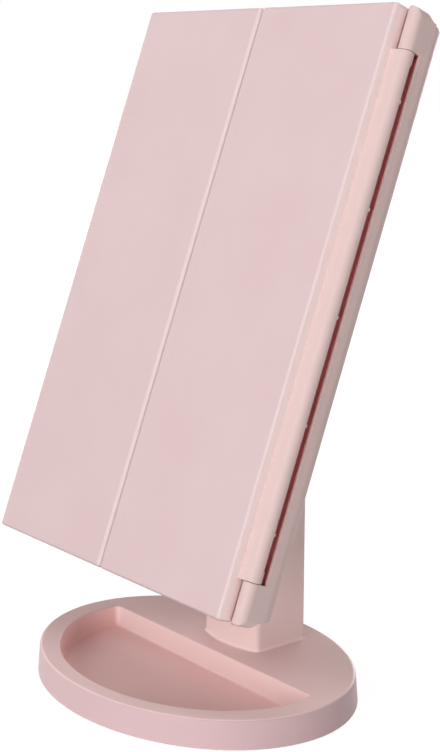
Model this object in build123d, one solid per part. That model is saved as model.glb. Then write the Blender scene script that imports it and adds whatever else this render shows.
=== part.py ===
from build123d import *
from math import cos, radians, sin, sqrt
import os

# Trifold vanity mirror on a dished oval stand. Sizes in millimetres.
# World frame: origin at the centre of the base on the table, front towards -Y, +Z up.
# Head frame: origin at the bottom centre of the closed wings' front faces, +Y to the rear,
# +Z up the head. seat_on_pivot carries head pieces from the head frame to the world frame.

# ---- driving dimensions: stand ----
base_half_width = 84.5      # at the foot of the outer wall
base_half_depth = 65.3
base_height = 13.1
base_draft = 1.1            # inward lean of the outer wall over its height
base_wall = 2.2
base_edge_round = 1.5
foot_stand_off = 0.5        # rubber feet below the wall's lower rim
dish_side_rim = 12.3        # from the dish's widest point out to the base's outer wall
dish_front_rim = 9.1
dish_to_neck = 10.0         # from the straight back edge of the dish to the neck's front
dish_floor = 3.2
dish_draft = 1.2
dish_corner = 2.5
dish_lip_round = 0.6
dish_skin = 1.6
cover_thickness = 1.2
neck_half_width = 19.2
neck_depth = 32.8
neck_rear_margin = 14.7     # from the neck's back to the base's rear edge
neck_bulge = 4.0            # the front face bows out this far ahead of its corners
neck_wall = 2.4
neck_foot_round = 1.0
neck_front_round = 3.0
screw_bore = 1.2            # radius of the holes that screws cut their thread in

# ---- driving dimensions: tilt joint ----
pivot_set_back = 16.7       # from the neck's front corner plane to the axle
pivot_z = 166.7
axle_stand_off = 20.6       # from the head's back to the axle
tilt = 20.7                 # degrees the head leans back at rest
tongue_half_width = 13.8
tongue_radius = 13.0
ear_thickness = 6.0
ear_radius = 11.0
axle_radius = 3.0
washer_radius = 9.0

# ---- driving dimensions: head ----
head_height = 253.7
wing_width = 82.3
wing_thickness = 6.6
wing_wall = 1.6
wing_edge_round = 1.5
seam_gap = 0.6
hinge_out = 3.95            # hinge axis beyond the wing's outer edge
hinge_y = 8.4
barrel_radius = 3.7
barrel_skin = 1.3
barrel_end = 16.0           # degrees behind straight outwards where the skin stops at the slit
root_radius = 0.8           # the barrel's flat front runs from this rounded root at the wing's side
root_out, root_y = 0.4, 4.85
knuckle_radius = 3.6
knuckle_height = 17.8
knuckle_corner = 3.4        # in the front view
pin_radius = 1.5
web_count = 5
web_end_margin = 20.0       # from the barrel's end to the first web
web_thickness = 1.2
shell_back = 23.8
shell_wall = 1.6
shell_step = 3.2            # the rear shell is this much shorter than the head at each end
shell_round = 2.0           # round the back's edge
shell_corner = 6.8          # in plan, where the side walls turn into the back
slit_back = 13.2            # front edge of the shell's side wall
step_half = 3.0             # half the depth of the S curve from knuckle to shell
frame_front = 7.2
frame_back = 12.8
glass_front = 8.0
glass_thickness = 2.0
side_margin = 17.95         # centre frame beside the mirror, with the light strip in it
mirror_low, top_margin = 8.0, 23.0
strip_width = 9.3           # frosted light strips beside and above the mirror
strip_low = 20.0
top_strip_half = 50.0
led_per_side, led_on_top = 8, 5
led_length, led_width, led_height = 3.5, 2.8, 1.4
board_left, board_right, board_low, board_high = 14.0, 62.0, 30.0, 66.0
board_thickness = 1.6
door_recess = 1.25
shell_screw_margin = 12.0   # from the head's end to the outer screws
shell_screw_radius = 1.25
cell_radius, cell_length = 5.25, 44.5
bay_x = -48.0               # battery bay centre, clear of the neck

# ---- clearances ----
slide_gap = 0.15            # round a piece dropped into its pocket
turn_gap = 0.35             # between a turning piece and what it passes
bore_gap = 0.05             # a shaft in a bore it turns in
knuckle_gap = 0.3           # between a knuckle and the barrel's end

# ---- sizes that follow ----
neck_back = base_half_depth - neck_rear_margin
neck_front = neck_back - neck_depth
pivot_y = neck_front + pivot_set_back
spigot_y = neck_front + 17.5
dish_half_width = base_half_width - dish_side_rim
dish_front_depth = base_half_depth - dish_front_rim
dish_back = neck_front - dish_to_neck
wing_inner_x = seam_gap / 2
wing_outer_x = wing_inner_x + wing_width
hinge_x = wing_outer_x + hinge_out
shell_half_width = hinge_x + knuckle_radius
frame_half_width = hinge_x - barrel_radius - turn_gap - 0.2
pivot_depth = shell_back + axle_stand_off
pivot_height = head_height / 2
plate_front = glass_front + glass_thickness
plate_back = plate_front + 1.6
ear_inner_x = tongue_half_width + 0.8
cover_low = foot_stand_off + 0.1
cover_top = cover_low + cover_thickness
barrel_low = knuckle_height + knuckle_gap
barrel_high = head_height - barrel_low
web_pitch = (barrel_high - barrel_low - 2 * web_end_margin) / (web_count - 1)
mirror_half_width = frame_half_width - side_margin
mirror_high = head_height - top_margin
strip_x = mirror_half_width + 2.0 + strip_width / 2
strip_z = mirror_high + 2.0 + strip_width / 2
bay_half_width = 2 * cell_radius + 1.1
bay_low, bay_high = 18.0, 18.0 + 2 * cell_length + 6.0
bay_floor = plate_front + 1.4
screw_x, inner_screw_x = frame_half_width - 9.0, neck_half_width + 8.8
screw_places = [(sx * x, z) for sx in (-1, 1) for x, z in (
    (screw_x, shell_screw_margin), (screw_x, head_height - shell_screw_margin),
    (inner_screw_x, pivot_height - 44), (inner_screw_x, pivot_height + 42))]


def block(x0, x1, y0, y1, z0, z1):
    """A plain block between two corners."""
    return Pos((x0 + x1) / 2, (y0 + y1) / 2, (z0 + z1) / 2) * Box(abs(x1 - x0), y1 - y0, z1 - z0)


def rod(x, y, z0, z1, radius):
    """A round bar standing along Z."""
    return Pos(x, y, (z0 + z1) / 2) * Cylinder(radius, z1 - z0)


def rod_y(x, z, y0, y1, radius):
    """A round bar lying along Y, the direction through the head."""
    return Pos(x, (y0 + y1) / 2, z) * Rot(90, 0, 0) * Cylinder(radius, y1 - y0)


def rod_x(y, z, x0, x1, radius):
    """A round bar lying along X, the direction of the tilt axle."""
    return Pos((x0 + x1) / 2, y, z) * Rot(0, 90, 0) * Cylinder(radius, x1 - x0)


def column(outline, z0, z1):
    """A plan-view outline carried up from z0 to z1."""
    return extrude(Pos(0, 0, z0) * outline, z1 - z0)


def slab(outline, y0, y1):
    """A front-view outline (x, z) carried back from y0 to y1."""
    return extrude(Plane((0, y0, 0), x_dir=(1, 0, 0), z_dir=(0, -1, 0)) * outline, -(y1 - y0))


def side_slab(outline, x0, x1):
    """A side-view outline (y, z) carried sideways from x0 to x1."""
    return extrude(Plane((x0, 0, 0), x_dir=(0, 1, 0), z_dir=(1, 0, 0)) * outline, x1 - x0)


def rounded_slab(x0, x1, z0, z1, y0, y1, corner):
    """A plate in the head's front view with rounded corners."""
    shape = Pos((x0 + x1) / 2, (z0 + z1) / 2) * RectangleRounded(x1 - x0, z1 - z0, corner)
    return slab(shape, y0, y1)


def both_sides(piece):
    """The piece and its mirror image across the middle of the mirror."""
    return [piece, mirror(piece, Plane.YZ)]


# ---------------------------------------------------------------- stand
def oval(shrink, z):
    """The base outline at height z, pulled in by shrink."""
    lean = base_draft * (z - foot_stand_off) / (base_height - foot_stand_off)
    return Pos(0, 0, z) * Ellipse(base_half_width - lean - shrink, base_half_depth - lean - shrink)


def dish_outline(grow):
    """The D of the dish: an oval cut off by its straight back edge."""
    half_w, half_d, back = dish_half_width + grow, dish_front_depth + grow, dish_back + grow
    # the oval is turned so that its seam is at the front, clear of the corner rounds
    shape = Rot(0, 0, -90) * Ellipse(half_d, half_w)
    return shape & Pos(0, back - half_d) * Rectangle(2 * half_w, 2 * half_d)


def round_back_corners(piece, radius):
    """Round the two upright edges at the ends of the dish's straight back."""
    upright = ShapeList(e for e in piece.edges() if e.bounding_box().size.Z > 1.5)
    return fillet(upright.sort_by(Axis.Y)[-2:], radius)


def dish_hollow():
    """The space of the dish, leaning inwards to a floor with rounded edges."""
    top = Pos(0, 0, base_height + 0.01) * dish_outline(0)
    low = Pos(0, 0, dish_floor) * dish_outline(-dish_draft)
    hollow = round_back_corners(loft([low, top], ruled=True), dish_corner)
    return fillet(hollow.faces().sort_by(Axis.Z)[0].edges(), 0.5)


def neck_outline(shrink=0.0):
    """Plan of the neck: flat sides and back, gently bowed front."""
    side = neck_half_width - shrink
    front, back = neck_front + shrink, neck_back - shrink
    edge = Polyline((side, front + neck_bulge), (side, back), (-side, back), (-side, front + neck_bulge))
    bow = ThreePointArc((-side, front + neck_bulge), (0, front), (side, front + neck_bulge))
    shape = make_face(Curve() + [edge, bow])
    corners = shape.vertices().sort_by(Axis.Y)
    shape = fillet(corners[-2:], 1.5)
    return fillet(shape.vertices().sort_by(Axis.Y)[:2], neck_front_round)


def oval_point(share, angle):
    """A point on the base outline drawn in to a share of its size."""
    return tuple(Vector(share * base_half_width * cos(radians(angle)),
                        share * base_half_depth * sin(radians(angle))))[:2]


base_screw_places = [oval_point(0.85, angle) for angle in (23, 62, 118, 157)]
neck_screw_places = [(sx * neck_half_width / 2, spigot_y + sy * 7.5) for sx in (-1, 1) for sy in (-1, 1)]
foot_places = [oval_point(0.78, angle) for angle in (-90, -20, 40, 140, 200)]


def make_base_tray():
    skirt = loft([oval(0, foot_stand_off), oval(0, base_height)])
    skirt = fillet(skirt.edges().sort_by(Axis.Z)[-1:], base_edge_round)
    under = base_height - base_wall
    space = loft([oval(base_wall, foot_stand_off - 0.01), oval(base_wall, under)])
    space -= round_back_corners(column(dish_outline(dish_skin), cover_top, base_height), dish_corner)
    tray = skirt - space - dish_hollow()
    rims = tray.edges().filter_by_position(Axis.Z, base_height - 0.01, base_height + 0.01)
    tray = fillet([e for e in rims if abs(e.bounding_box().max.X) < dish_half_width + 1
                   and e.bounding_box().size.X < 2 * dish_half_width + 1], dish_lip_round)
    for sx in (-1, 1):
        tray += block(sx * 25 - 0.8, sx * 25 + 0.8, dish_back, base_half_depth - 9,
                      cover_top + 1.5, under + 0.5)
    for x, y in base_screw_places:
        tray += rod(x, y, cover_top, under + 0.5, 2.8) - rod(x, y, cover_top, under - 1, screw_bore)
    for x, y in neck_screw_places:
        tray -= rod(x, y, under - 0.1, base_height + 0.1, 1.9)
    return tray - column(Pos(0, spigot_y) * Rectangle(12, 10), under - 0.1, base_height + 0.1)


def make_base_cover():
    plate = loft([oval(base_wall + slide_gap, cover_low), oval(base_wall + slide_gap, cover_top)])
    for x, y in foot_places:
        plate -= rod(x, y, cover_low, cover_low + 0.5, 5.0)
    for x, y in base_screw_places:
        sink = Cone(2 * screw_bore, screw_bore, cover_thickness)
        plate -= Pos(x, y, cover_low + cover_thickness / 2) * sink
    return plate


def make_feet():
    return [fillet(rod(x, y, 0, cover_low + 0.5, 5.0).edges().sort_by(Axis.Z)[:1], 0.4)
            for x, y in foot_places]


def make_base_screws():
    head = Cone(2 * screw_bore, screw_bore, cover_thickness)
    return [Pos(x, y, cover_low + cover_thickness / 2) * head
            + rod(x, y, cover_top, base_height - base_wall - 2, screw_bore) for x, y in base_screw_places]


def make_neck_screws():
    under = base_height - base_wall
    return [rod(x, y, under - 2.2, under, 3.4) + rod(x, y, under, base_height + 9, 1.75)
            for x, y in neck_screw_places]


def make_neck_column():
    shoulder = pivot_z - tongue_radius - 9.0
    post = column(neck_outline(), base_height, shoulder)
    post = fillet(post.faces().sort_by(Axis.Z)[-1].edges(), 2.0)
    wide = neck_half_width + 11
    ground = block(-wide, wide, neck_front - 12, neck_back + 12, base_height - 2, base_height)
    post += ground
    foot_edges = post.edges().filter_by_position(Axis.Z, base_height - 0.01, base_height + 0.01)
    inside = [e for e in foot_edges if abs(e.center().X) < neck_half_width + 5
              and neck_front - 6 < e.center().Y < neck_back + 6]
    post = fillet(inside, neck_foot_round) - ground
    tongue = Pos(pivot_y, pivot_z) * Circle(tongue_radius)
    tall = pivot_z - shoulder + 2
    tongue += Pos(pivot_y, pivot_z - tall / 2) * Rectangle(2 * tongue_radius, tall)
    post += side_slab(tongue, -tongue_half_width, tongue_half_width)
    # the back of the post is open for its long cover, with cross webs and screw bosses inside
    low, high = base_height + neck_wall, shoulder - 5
    hollow = column(neck_outline(neck_wall), low, high)
    side = neck_half_width - neck_wall
    hollow += block(-side, side, neck_back - 10, neck_back + 1, low, high)
    for z in [low + (high - low) * k / 4 for k in (1, 2, 3)]:
        hollow -= block(-side, side, neck_front, neck_back - 1.8, z - 0.8, z + 0.8)
    for x, y in neck_screw_places:
        hollow -= rod(x, y, low, base_height + 10.5, 3.6)
    post -= hollow
    for x, y in neck_screw_places:
        post -= rod(x, y, base_height, base_height + 9, 1.75)
    spigot = column(Pos(0, spigot_y) * Rectangle(12 - 0.3, 10 - 0.3), base_height - 4, base_height + 1)
    return post + spigot - rod_x(pivot_y, pivot_z, -20, 20, axle_radius + bore_gap)


def make_neck_cover():
    side = neck_half_width - neck_wall - slide_gap
    low, high = base_height + neck_wall + slide_gap, pivot_z - tongue_radius - 14.0 - slide_gap
    plate = block(-side, side, neck_back - 1.8, neck_back, low, high)
    for z in ((2 * low + high) / 3 + 4, (low + 2 * high) / 3 - 4):
        for sx in (-1, 1):
            plate += block(sx * side - sx * 1.6, sx * side, neck_back - 6, neck_back - 1.8, z - 5, z + 5)
    return plate


# ---------------------------------------------------------------- tilt joint (head frame)
def make_tilt_axle():
    outer = ear_inner_x + ear_thickness
    pin = rod_x(pivot_depth, pivot_height, -outer - 3.4, outer, axle_radius)
    head = rod_x(pivot_depth, pivot_height, outer, outer + 3.4, 2 * axle_radius)
    head = fillet(head.edges().sort_by(Axis.X)[-1:], 1.0)
    y, z = pivot_depth, pivot_height
    slot = block(outer + 2.4, outer + 4, y - 0.7, y + 0.7, z - 7, z + 7)
    return pin + head - slot


def make_tilt_nut():
    outer = ear_inner_x + ear_thickness
    hexagon = Pos(pivot_depth, pivot_height) * (RegularPolygon(5.8, 6) - Circle(axle_radius))
    return side_slab(hexagon, -outer - 3.0, -outer)


def make_washers():
    ring = Pos(pivot_depth, pivot_height) * (Circle(washer_radius) - Circle(axle_radius))
    return both_sides(side_slab(ring, tongue_half_width + 0.1, ear_inner_x))


# ---------------------------------------------------------------- head rear shell
def shell_section():
    """Half plan of the shell: back, side wall, channel floor behind the slit, inner channel wall."""
    side, inner = shell_half_width, shell_half_width - shell_wall
    wall = frame_half_width - shell_wall
    floor = slit_back + 1.5
    inner_back = shell_back - shell_wall
    half = Polyline((0, shell_back), (side, shell_back), (side, slit_back), (inner, slit_back),
                    (inner, floor), (frame_half_width, floor), (frame_half_width, frame_back),
                    (wall, frame_back), (wall, floor + 1.5), (inner, floor + 1.5),
                    (inner, inner_back), (0, inner_back), close=True)
    section = make_face(half)
    for x, y, radius in ((side, shell_back, shell_corner), (inner, inner_back, shell_corner - shell_wall)):
        section = fillet(section.vertices().sort_by_distance((x, y, 0))[0], radius)
    return section


def knuckle():
    """One lower right hinge ear: round nose on the hinge axis, running on into the side wall."""
    left, rear = hinge_x - knuckle_radius, shell_back - shell_corner
    edge = Polyline((left, hinge_y), (left, hinge_y + 0.01), (frame_half_width + 0.2, hinge_y + 0.01),
                    (frame_half_width + 0.2, rear), (shell_half_width, rear), (shell_half_width, hinge_y))
    arc = ThreePointArc((shell_half_width, hinge_y), (hinge_x, hinge_y - knuckle_radius), (left, hinge_y))
    ear = column(make_face(Curve() + [edge, arc]), 0, knuckle_height)
    # the outer end is rounded in the front view and steps in by an S curve to the shorter rear shell
    front_view = Pos(shell_half_width - 10, 30) * RectangleRounded(20, 60, knuckle_corner)
    ear &= slab(front_view, 0, shell_back)
    s0, s1 = slit_back - step_half, slit_back + step_half
    rise = Spline((s0, 0), (slit_back, shell_step / 2), (s1, shell_step), tangents=((1, 0), (1, 0)))
    rest = Polyline((s1, shell_step), (shell_back + 1, shell_step), (shell_back + 1, -1), (s0, -1), (s0, 0))
    ear -= side_slab(make_face(Curve() + [rise, rest]), frame_half_width - 1, shell_half_width + 1)
    return ear - rod(hinge_x, hinge_y, -1, knuckle_height + 1, pin_radius)


def ear_outline():
    """Side view of one tilt ear: a broad root on the shell's back, drawn in to the axle boss."""
    boss = Pos(pivot_depth, pivot_height) * Circle(ear_radius)
    root = Pos(shell_back - 0.5, pivot_height) * Rectangle(1, 40)
    return make_hull(boss.edges() + root.edges()) - Pos(pivot_depth, pivot_height) * Circle(axle_radius)


def make_rear_shell():
    low, high = shell_step, head_height - shell_step
    inner_back, corner_front = shell_back - shell_wall, shell_back - shell_corner
    shell = Compound(children=both_sides(column(shell_section(), low, high)))
    body = Part() + shell.solids()
    ends = block(-frame_half_width, frame_half_width, frame_back, corner_front, low, low + shell_wall)
    plate = Pos(0, (slit_back + shell_back) / 2) * Rectangle(2 * shell_half_width, shell_back - slit_back)
    plate = fillet(plate.vertices().sort_by(Axis.Y)[-2:], shell_corner)
    ends += column(plate, low, low + shell_wall)
    body += ends + mirror(ends, Plane.XY.offset(head_height / 2))
    rim = [e for z in (low, high) for e in body.edges().filter_by_position(Axis.Z, z - 0.01, z + 0.01)
           if e.center().Y > corner_front and e.bounding_box().max.Y > shell_back - 0.01]
    body = fillet(rim, shell_round)
    ear = knuckle()
    for piece in both_sides(ear):
        body += [piece, mirror(piece, Plane.XY.offset(head_height / 2))]
    for piece in both_sides(side_slab(ear_outline(), ear_inner_x, ear_inner_x + ear_thickness)):
        body += piece
    # stiffening ribs behind the ears and across the back
    rib_low, rib_high, rib_end = pivot_height - 28, pivot_height + 28, frame_half_width - 3
    for x in (-ear_inner_x - ear_thickness / 2, ear_inner_x + ear_thickness / 2):
        body += block(x - 0.8, x + 0.8, frame_back + 1, inner_back + 0.5, rib_low, rib_high)
    for left, z in ((bay_x + bay_half_width, rib_low), (-rib_end, rib_high), (-rib_end, rib_high + 50)):
        body += block(left, rib_end, frame_back + 3, inner_back + 0.5, z - 0.7, z + 0.7)
    for x, z in screw_places:
        body += rod_y(x, z, frame_back + 6, inner_back + 0.5, 4.2)
        body -= rod_y(x, z, frame_back + 7.6, shell_back + 1, 2.9)
        body -= rod_y(x, z, frame_back + 5, frame_back + 8, 1.6)
    # battery bay, open to the rear, with a ledge for its door
    x0, x1 = bay_x - bay_half_width, bay_x + bay_half_width
    body += block(x0 - 1.2, x1 + 1.2, bay_floor - 0.9, inner_back + 0.5, bay_low - 1.2, bay_high + 1.2)
    body -= block(x0, x1, bay_floor, shell_back + 1, bay_low, bay_high)
    body -= block(x0 - 1.8, x1 + 1.8, door_front, shell_back + 1, bay_low - 1.8, bay_high + 1.8)
    # socket and switch windows
    body -= block(usb_x - 4.3, usb_x + 4.3, inner_back - 1, shell_back + 1, usb_z - 1.8, usb_z + 1.8)
    body -= block(knob_x - 2.6, knob_x + 2.6 + knob_travel, inner_back - 1, shell_back + 1,
                  usb_z - 2.3, usb_z + 2.3)
    return body


# ---------------------------------------------------------------- centre frame and what it holds
usb_x, usb_z = board_right - 12.0, board_low + 14.0
knob_x, knob_travel = board_left + 14.0, 3.0
door_front = shell_back - door_recess
board_front = plate_back + 4.0
board_back = board_front + board_thickness
board_posts = [(x, z) for x in (board_left + 4, board_right - 4) for z in (board_low + 4, board_high - 4)]


def strip_places():
    """Centre and half sizes (x, z) of the three light strips."""
    side_mid, side_half = (strip_low + mirror_high) / 2, (mirror_high - strip_low) / 2
    wide = strip_width / 2
    return [(-strip_x, side_mid, wide, side_half), (strip_x, side_mid, wide, side_half),
            (0, strip_z, top_strip_half, wide)]


def pocket(x, z, half_x, half_z, y0, y1, grow):
    """A place from strip_places as a solid, larger all round by grow."""
    wide, tall = half_x + grow, half_z + grow
    return rounded_slab(x - wide, x + wide, z - tall, z + tall, y0, y1, 1.2)


def make_centre_frame():
    wide = frame_half_width
    frame = rounded_slab(-wide, wide, 0, head_height, frame_front, plate_back, 1.0)
    frame = fillet(frame.faces().sort_by(Axis.Y)[0].edges(), 0.8)
    frame += rounded_slab(-wide, wide, 1.2, head_height - 1.2, plate_back, frame_back, 1.0)
    frame -= block(-wide + 2, wide - 2, plate_back, frame_back + 1, 3.2, head_height - 3.2)
    mid, half = (mirror_low + mirror_high) / 2, (mirror_high - mirror_low) / 2
    frame -= pocket(0, mid, mirror_half_width, half, frame_front - 1, plate_front, slide_gap)
    for x, z, half_x, half_z in strip_places():
        frame -= pocket(x, z, half_x, half_z, frame_front - 1, plate_front, slide_gap)
        frame -= block(x - half_x + 2.2, x + half_x - 2.2, plate_front - 1, plate_back + 1,
                       z - half_z + 2.2, z + half_z - 2.2)
    x0, x1 = bay_x - bay_half_width - 2, bay_x + bay_half_width + 2
    frame -= block(x0, x1, plate_front - 1, plate_back + 1, bay_low - 2, bay_high + 2)
    frame -= rod_y(0, 14, plate_front - 1, plate_back + 1, 7.2)
    for x, z in screw_places:
        frame += rod_y(x, z, plate_back - 0.5, frame_back + 6, 3.0)
        frame -= rod_y(x, z, plate_back + 0.5, frame_back + 7, shell_screw_radius)
    for x, z in board_posts:
        frame += rod_y(x, z, plate_back - 0.5, board_front, 2.2)
    return frame


def make_centre_mirror():
    plate = rounded_slab(-mirror_half_width, mirror_half_width, mirror_low, mirror_high,
                         glass_front, plate_front, 1.0)
    return chamfer(plate.faces().sort_by(Axis.Y)[0].edges(), 0.4)


def make_diffusers():
    return [pocket(*place, glass_front, plate_front, 0) for place in strip_places()]


def make_led_boards():
    return [block(x - half_x + 1.2, x + half_x - 1.2, plate_back, plate_back + 1.2,
                  z - half_z + 1.2, z + half_z - 1.2) for x, z, half_x, half_z in strip_places()]


def make_leds():
    chips = []
    front, half_l, half_w = plate_back - led_height, led_length / 2, led_width / 2
    side_mid, pitch = strip_places()[0][1], (mirror_high - strip_low - 4) / led_per_side
    for k in range(led_per_side):
        z = side_mid + pitch * (k - (led_per_side - 1) / 2)
        chips += [block(x - half_w, x + half_w, front, plate_back, z - half_l, z + half_l)
                  for x in (-strip_x, strip_x)]
    pitch = (2 * top_strip_half - 5) / led_on_top
    for k in range(led_on_top):
        x = pitch * (k - (led_on_top - 1) / 2)
        chips.append(block(x - half_l, x + half_l, front, plate_back, strip_z - half_w, strip_z + half_w))
    return chips


def make_touch_pad():
    return rod_y(0, 14, plate_front, plate_front + 0.8, 6.0)


def make_control_board():
    board = rounded_slab(board_left, board_right, board_low, board_high, board_front, board_back, 1.5)
    for right, up, wide, tall, thick in ((4, 22, 6, 6, 1.2), (16, 24, 10, 8, 1.8), (32, 26, 4, 4, 3.0)):
        x, z = board_left + right, board_low + up
        board += block(x, x + wide, board_back, board_back + thick, z, z + tall)
    return board


def make_usb_socket():
    back = board_back
    can = rounded_slab(usb_x - 3.8, usb_x + 3.8, usb_z - 1.4, usb_z + 1.4, back, shell_back - 0.3, 0.8)
    can -= rounded_slab(usb_x - 3.4, usb_x + 3.4, usb_z - 1.0, usb_z + 1.0, back + 1.5, shell_back, 0.6)
    return can + block(usb_x - 2.2, usb_x + 2.2, back + 1, shell_back - 1.2, usb_z - 0.3, usb_z + 0.3)


def make_switch_body():
    back, low = board_back, usb_z - 1.6
    mid = knob_x + knob_travel / 2
    case = block(mid - 6, mid + 6, back, back + 3.4, usb_z - 3, usb_z + 3)
    return case - block(knob_x - 1.9, knob_x + 1.9 + knob_travel, back + 1, back + 4, low, low + 3.2)


def make_power_switch():
    knob = block(knob_x - 1.6, knob_x + 1.6, board_back + 1.2, shell_back - 0.4, usb_z - 1.3, usb_z + 1.3)
    grip = block(knob_x - 2.2, knob_x + 2.2, shell_back - 1.6, shell_back + 1.0, usb_z - 2.0, usb_z + 2.0)
    for x in (knob_x - 1, knob_x, knob_x + 1):
        grip -= block(x - 0.25, x + 0.25, shell_back + 0.6, shell_back + 2, usb_z - 3, usb_z + 3)
    return knob + grip


def make_cells():
    cells = []
    for side in (-1, 1):
        for row in (0, 1):
            low = bay_low + 3.0 + row * cell_length
            x, y = bay_x + side * (cell_radius + 0.35), bay_floor + cell_radius
            can = rod(x, y, low, low + cell_length - 1.0, cell_radius)
            can = fillet(can.edges().sort_by(Axis.Z)[:1] + can.edges().sort_by(Axis.Z)[-1:], 0.5)
            cell = can + rod(x, y, low + cell_length - 1.0, low + cell_length, 1.9)
            if side > 0:
                cell = mirror(cell, Plane.XY.offset(bay_low + 3.0 + cell_length))
            cells.append(cell)
    return cells


def make_contacts():
    """A bridge plate at the top, two separate plates at the bottom, each with raised buttons."""
    y = bay_floor + cell_radius
    pads = []
    for side in (-1, 1):
        x = bay_x + side * (cell_radius + 0.35)
        plate = block(x - 4, x + 4, y - 4, y + 4, bay_low, bay_low + 0.5)
        pads.append(plate + Pos(x, y, bay_low + 1.75) * Cone(3.4, 1.6, 2.5))
    bridge = block(bay_x - 9.6, bay_x + 9.6, y - 4, y + 4, bay_high - 0.5, bay_high)
    for side in (-1, 1):
        x = bay_x + side * (cell_radius + 0.35)
        bridge += Pos(x, y, bay_high - 1.75) * Cone(1.6, 3.4, 2.5)
    return pads + [bridge]


door_axis_y = (door_front + 0.1 + shell_back) / 2
door_axis_z = bay_low - 1.8 + turn_gap + (shell_back - door_front - 0.1) / 2


def make_battery_door():
    half = (shell_back - door_front - 0.1) / 2
    wide = bay_half_width + 1.8 - slide_gap
    top = bay_high + 1.8 - turn_gap
    side_view = Pos(door_axis_y, (door_axis_z + top) / 2) * Rectangle(2 * half, top - door_axis_z)
    side_view += Pos(door_axis_y, door_axis_z) * Circle(half)
    door = side_slab(side_view, bay_x - wide, bay_x + wide)
    for k in range(3):
        z = top - 6 - 2.4 * k
        door -= block(bay_x - 6, bay_x + 6, shell_back - 0.5, shell_back + 1, z - 0.6, z + 0.6)
    return door


def make_shell_screws():
    seat = frame_back + 7.6
    return [rod_y(x, z, seat, seat + 1.8, 2.6) + rod_y(x, z, plate_back + 1, seat, shell_screw_radius)
            for x, z in screw_places]


def make_hinge_pins():
    low = rod(hinge_x, hinge_y, 1.0, barrel_low + 4.5, pin_radius)
    pins = []
    for pin in both_sides(low):
        pins += [pin, mirror(pin, Plane.XY.offset(head_height / 2))]
    return pins


# ---------------------------------------------------------------- wings (right wing drawn, left mirrored)
def barrel_outline(shrink):
    """Plan of the hinge barrel: a round about the hinge axis drawn out to its root at the wing's side."""
    root = Pos(wing_outer_x + root_out, root_y) * Circle(root_radius - min(shrink, root_radius - 0.1))
    round_part = Pos(hinge_x, hinge_y) * Circle(barrel_radius - shrink)
    return make_hull(root.edges() + round_part.edges())


def make_wing_cover():
    cover = rounded_slab(wing_inner_x, wing_outer_x, 0, head_height, 0, wing_thickness, wing_edge_round)
    cover = fillet(cover.faces().sort_by(Axis.Y)[0].edges(), wing_edge_round - 0.1)
    w = wing_wall
    x0, x1, top = wing_inner_x + w, wing_outer_x - w, head_height - w
    hollow = rounded_slab(x0, x1, w, top, w, wing_thickness + 1, 1.0)
    for k in range(1, 4):
        x = x0 + (x1 - x0) * k / 4
        hollow -= block(x - 0.5, x + 0.5, 0, 2 * w, w, top)
    for k in range(1, 8):
        z = head_height * k / 8
        hollow -= block(x0, x1, 0, 2 * w, z - 0.5, z + 0.5)
    cover -= hollow
    # hinge barrel: a skin on web discs, flat-fronted from its root at the wing's side and open behind
    skin = barrel_outline(0) - barrel_outline(barrel_skin)
    reach = 4 * barrel_radius
    skin_end = Vector(reach, 0).rotate(Axis.Z, barrel_end)
    opening = Polygon((0, 0), skin_end, (reach, reach), (-reach, reach), (-reach, 0), align=None)
    skin -= Pos(hinge_x, hinge_y) * opening
    cover += column(skin, barrel_low, barrel_high)
    places = [head_height / 2 + web_pitch * (k - (web_count - 1) / 2) for k in range(web_count)]
    for z in places:
        cover += column(barrel_outline(0.1), z - web_thickness / 2, z + web_thickness / 2)
    for z0, z1 in ((barrel_low, barrel_low + 5), (barrel_high - 5, barrel_high)):
        cover += column(barrel_outline(0.1), z0, z1)
        cover -= rod(hinge_x, hinge_y, z0 - 0.1, z1 + 0.1, pin_radius + bore_gap)
    return cover


def mirror_zones(split):
    """Low and high ends of the mirrors in one wing."""
    low, high, bar = 5.0, head_height - 5.0, 4.0
    return [(low, head_height / 2 - bar / 2), (head_height / 2 + bar / 2, high)] if split else [(low, high)]


def make_wing_frame(split):
    g = wing_wall + slide_gap
    x0, x1 = wing_inner_x + g, wing_outer_x - g
    frame = rounded_slab(x0, x1, g, head_height - g, 2 * wing_wall, wing_thickness, 0.9)
    for low, high in mirror_zones(split):
        frame -= rounded_slab(x0 + 3 - slide_gap, x1 - 3 + slide_gap, low - slide_gap, high + slide_gap,
                              2 * wing_wall + 1.4, wing_thickness + 1, 1.2)
    return frame


def make_wing_mirror(low, high, hollow_radius=None):
    """A mirror plate; a magnifying one has its face hollowed by a large sphere."""
    g = wing_wall + slide_gap
    x0, x1 = wing_inner_x + g + 3, wing_outer_x - g - 3
    back, face = 2 * wing_wall + 1.4, wing_thickness - 0.2
    plate = rounded_slab(x0, x1, low, high, back, face, 1.0)
    if hollow_radius:
        mid_x, mid_z = (x0 + x1) / 2, (low + high) / 2
        rim = sqrt(((x1 - x0) / 2) ** 2 + ((high - low) / 2) ** 2)
        centre_y = face + sqrt(hollow_radius ** 2 - rim ** 2)
        plate -= Pos(mid_x, centre_y, mid_z) * Sphere(hollow_radius)
    return plate


# ---------------------------------------------------------------- assembly
def seat_on_pivot(piece):
    """Carry a head piece to the neck's pivot, leaning back by the rest tilt."""
    place = Pos(0, pivot_y, pivot_z) * Rot(-tilt, 0, 0) * Pos(0, -pivot_depth, -pivot_height)
    if isinstance(piece, (list, tuple)):
        return [place * p for p in piece]
    return place * piece


def save(name, piece):
    solids = []
    for p in (piece if isinstance(piece, (list, tuple)) else [piece]):
        solids += p.solids()
    shape = solids[0] if len(solids) == 1 else Compound(children=solids)
    shape.label = name
    export_step(shape, f"parts/{name}.step")


right_cover = make_wing_cover()
right_frame, left_frame = make_wing_frame(False), mirror(make_wing_frame(True), Plane.YZ)
zones = mirror_zones(True)

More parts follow.
